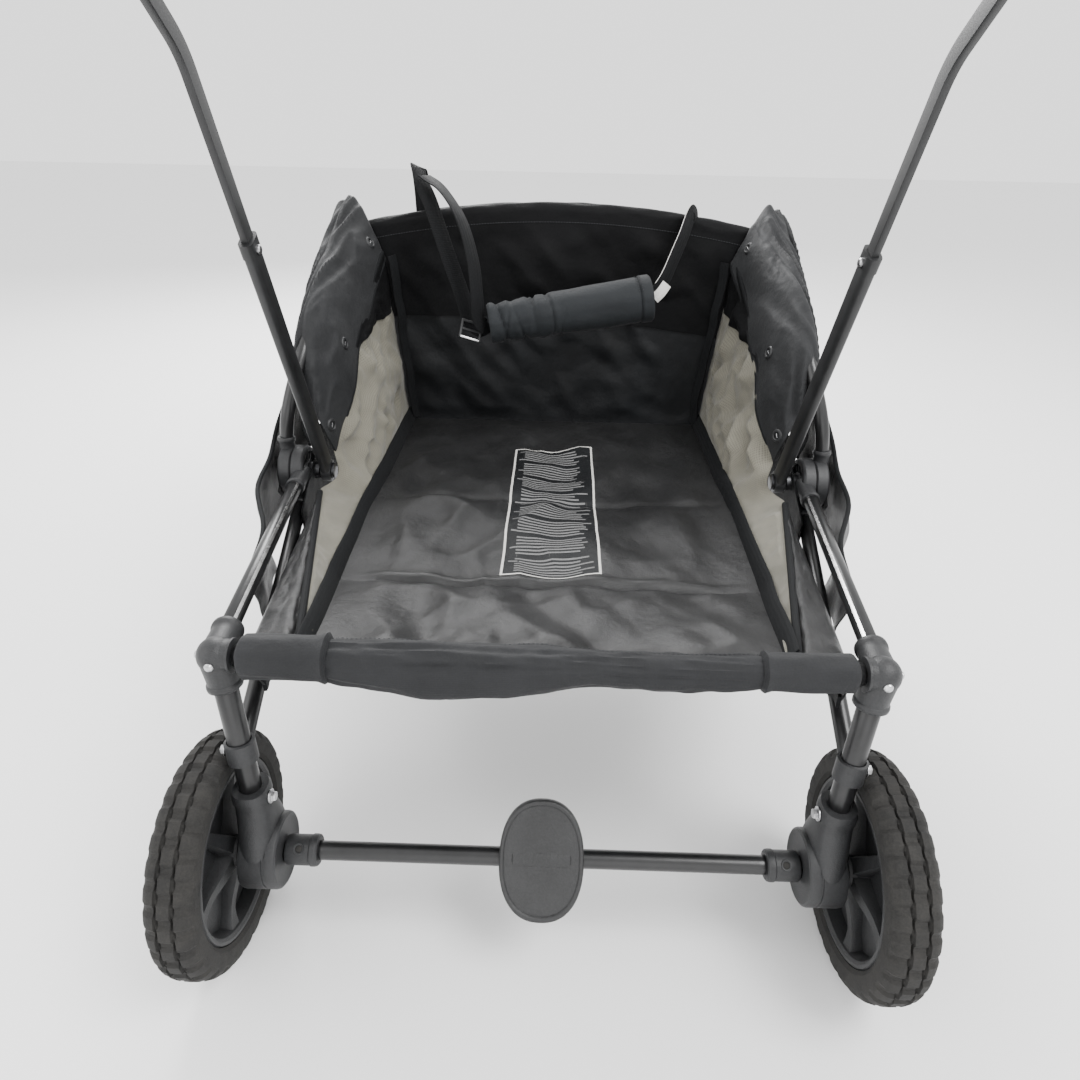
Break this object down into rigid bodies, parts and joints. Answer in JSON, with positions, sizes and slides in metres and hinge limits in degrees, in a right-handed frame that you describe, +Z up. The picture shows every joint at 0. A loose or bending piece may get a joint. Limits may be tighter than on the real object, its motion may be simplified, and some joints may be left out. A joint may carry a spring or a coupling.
{
  "type": "folding camp wagon",
  "caption": "Folding wagon with a fabric tub, mesh sides, fold-down front half, reclining telescopic handle, foot brake bar and swivel casters.",
  "frame": {"origin": "on the ground below the middle of the wagon", "axes": "+Z up, +Y towards the front wall and the casters, +X to the right"},
  "size_m": [0.7528, 0.91, 0.992],
  "materials": {
    "frame_tube": "black powder coat, satin",
    "moulded_plastic": "fine moulded texture",
    "canvas": "woven polyester, matt",
    "charcoal_canvas": "woven polyester, slight sheen",
    "net": "knitted mesh fabric",
    "webbing": "woven webbing",
    "foam": "closed-cell foam, matt",
    "tyre": "matt rubber",
    "steel": "bright"
  },
  "bodies": {
    "rear_frame": {"rear_top_rail": "frame_tube", "rear_rail_cover": "charcoal_canvas", "rear_floor_bar": "frame_tube", "tub_floor_rear": "canvas", "rear_leg_left": "frame_tube", "rear_corner_left": "moulded_plastic", "rear_side_rail_left": "frame_tube", "rear_brace_left": "frame_tube", "wheel_carrier_left": "moulded_plastic", "rear_axle_left": "steel", "fold_hub_inner_left": "moulded_plastic", "tub_side_rear_left": "net", "rear_leg_right": "frame_tube", "rear_corner_right": "moulded_plastic", "rear_side_rail_right": "frame_tube", "rear_brace_right": "frame_tube", "wheel_carrier_right": "moulded_plastic", "rear_axle_right": "steel", "fold_hub_inner_right": "moulded_plastic", "tub_side_rear_right": "net"},
    "front_frame": {"front_top_rail": "frame_tube", "front_cross_bar": "frame_tube", "tub_floor_front": "canvas", "tub_front_wall": "canvas", "grab_strap_pad": "charcoal_canvas", "grab_strap_left": "webbing", "grab_strap_right": "webbing", "fold_hub_outer_left": "moulded_plastic", "front_side_rail_left": "frame_tube", "front_brace_left": "frame_tube", "front_post_left": "frame_tube", "caster_housing_left": "moulded_plastic", "tub_side_front_left": "net", "rail_sleeve_left": "charcoal_canvas", "fold_hub_outer_right": "moulded_plastic", "front_side_rail_right": "frame_tube", "front_brace_right": "frame_tube", "front_post_right": "frame_tube", "caster_housing_right": "moulded_plastic", "tub_side_front_right": "net", "rail_sleeve_right": "charcoal_canvas"},
    "handle_lower": {"handle_arm_left": "moulded_plastic", "handle_arm_right": "moulded_plastic"},
    "handle_upper": {"handle_tube_left": "frame_tube", "handle_tube_right": "frame_tube", "handle_grip": "foam"},
    "brake": {"brake_bar": "frame_tube", "brake_pedal": "moulded_plastic", "brake_collar_left": "moulded_plastic", "brake_collar_right": "moulded_plastic"},
    "rear_wheel_left": {"rear_tyre_left": "tyre", "rear_rim_left": "moulded_plastic"},
    "caster_left": {"caster_fork_left": "moulded_plastic"},
    "caster_wheel_left": {"caster_tyre_left": "tyre", "caster_rim_left": "moulded_plastic"},
    "rear_wheel_right": {"rear_tyre_right": "tyre", "rear_rim_right": "moulded_plastic"},
    "caster_right": {"caster_fork_right": "moulded_plastic"},
    "caster_wheel_right": {"caster_tyre_right": "tyre", "caster_rim_right": "moulded_plastic"}
  },
  "joints": [
    {"name": "frame_fold", "type": "hinge", "parent": "rear_frame", "child": "front_frame", "pos_m": [0, 0.1, 0.341], "axis": [1, 0, 0], "range_deg": [-75, 0]},
    {"name": "handle_recline", "type": "hinge", "parent": "rear_frame", "child": "handle_lower", "pos_m": [0, 0.1, 0.341], "axis": [1, 0, 0], "range_deg": [0, 48]},
    {"name": "handle_slide", "type": "slide", "parent": "handle_lower", "child": "handle_upper", "axis": [0, -0.3955, 0.9184], "range_m": [-0.13, 0]},
    {"name": "brake_press", "type": "hinge", "parent": "rear_frame", "child": "brake", "pos_m": [0, -0.335, 0.12], "axis": [1, 0, 0], "range_deg": [0, 18]},
    {"name": "rear_wheel_spin_left", "type": "hinge", "parent": "rear_frame", "child": "rear_wheel_left", "pos_m": [-0.329, -0.335, 0.12], "axis": [1, 0, 0], "continuous": true},
    {"name": "caster_swivel_left", "type": "hinge", "parent": "front_frame", "child": "caster_left", "pos_m": [-0.3, 0.41, 0.23], "axis": [0, 0, 1], "continuous": true},
    {"name": "caster_spin_left", "type": "hinge", "parent": "caster_left", "child": "caster_wheel_left", "pos_m": [-0.3, 0.365, 0.09], "axis": [1, 0, 0], "continuous": true},
    {"name": "rear_wheel_spin_right", "type": "hinge", "parent": "rear_frame", "child": "rear_wheel_right", "pos_m": [0.329, -0.335, 0.12], "axis": [1, 0, 0], "continuous": true},
    {"name": "caster_swivel_right", "type": "hinge", "parent": "front_frame", "child": "caster_right", "pos_m": [0.3, 0.41, 0.23], "axis": [0, 0, 1], "continuous": true},
    {"name": "caster_spin_right", "type": "hinge", "parent": "caster_right", "child": "caster_wheel_right", "pos_m": [0.3, 0.365, 0.09], "axis": [1, 0, 0], "continuous": true}
  ]
}
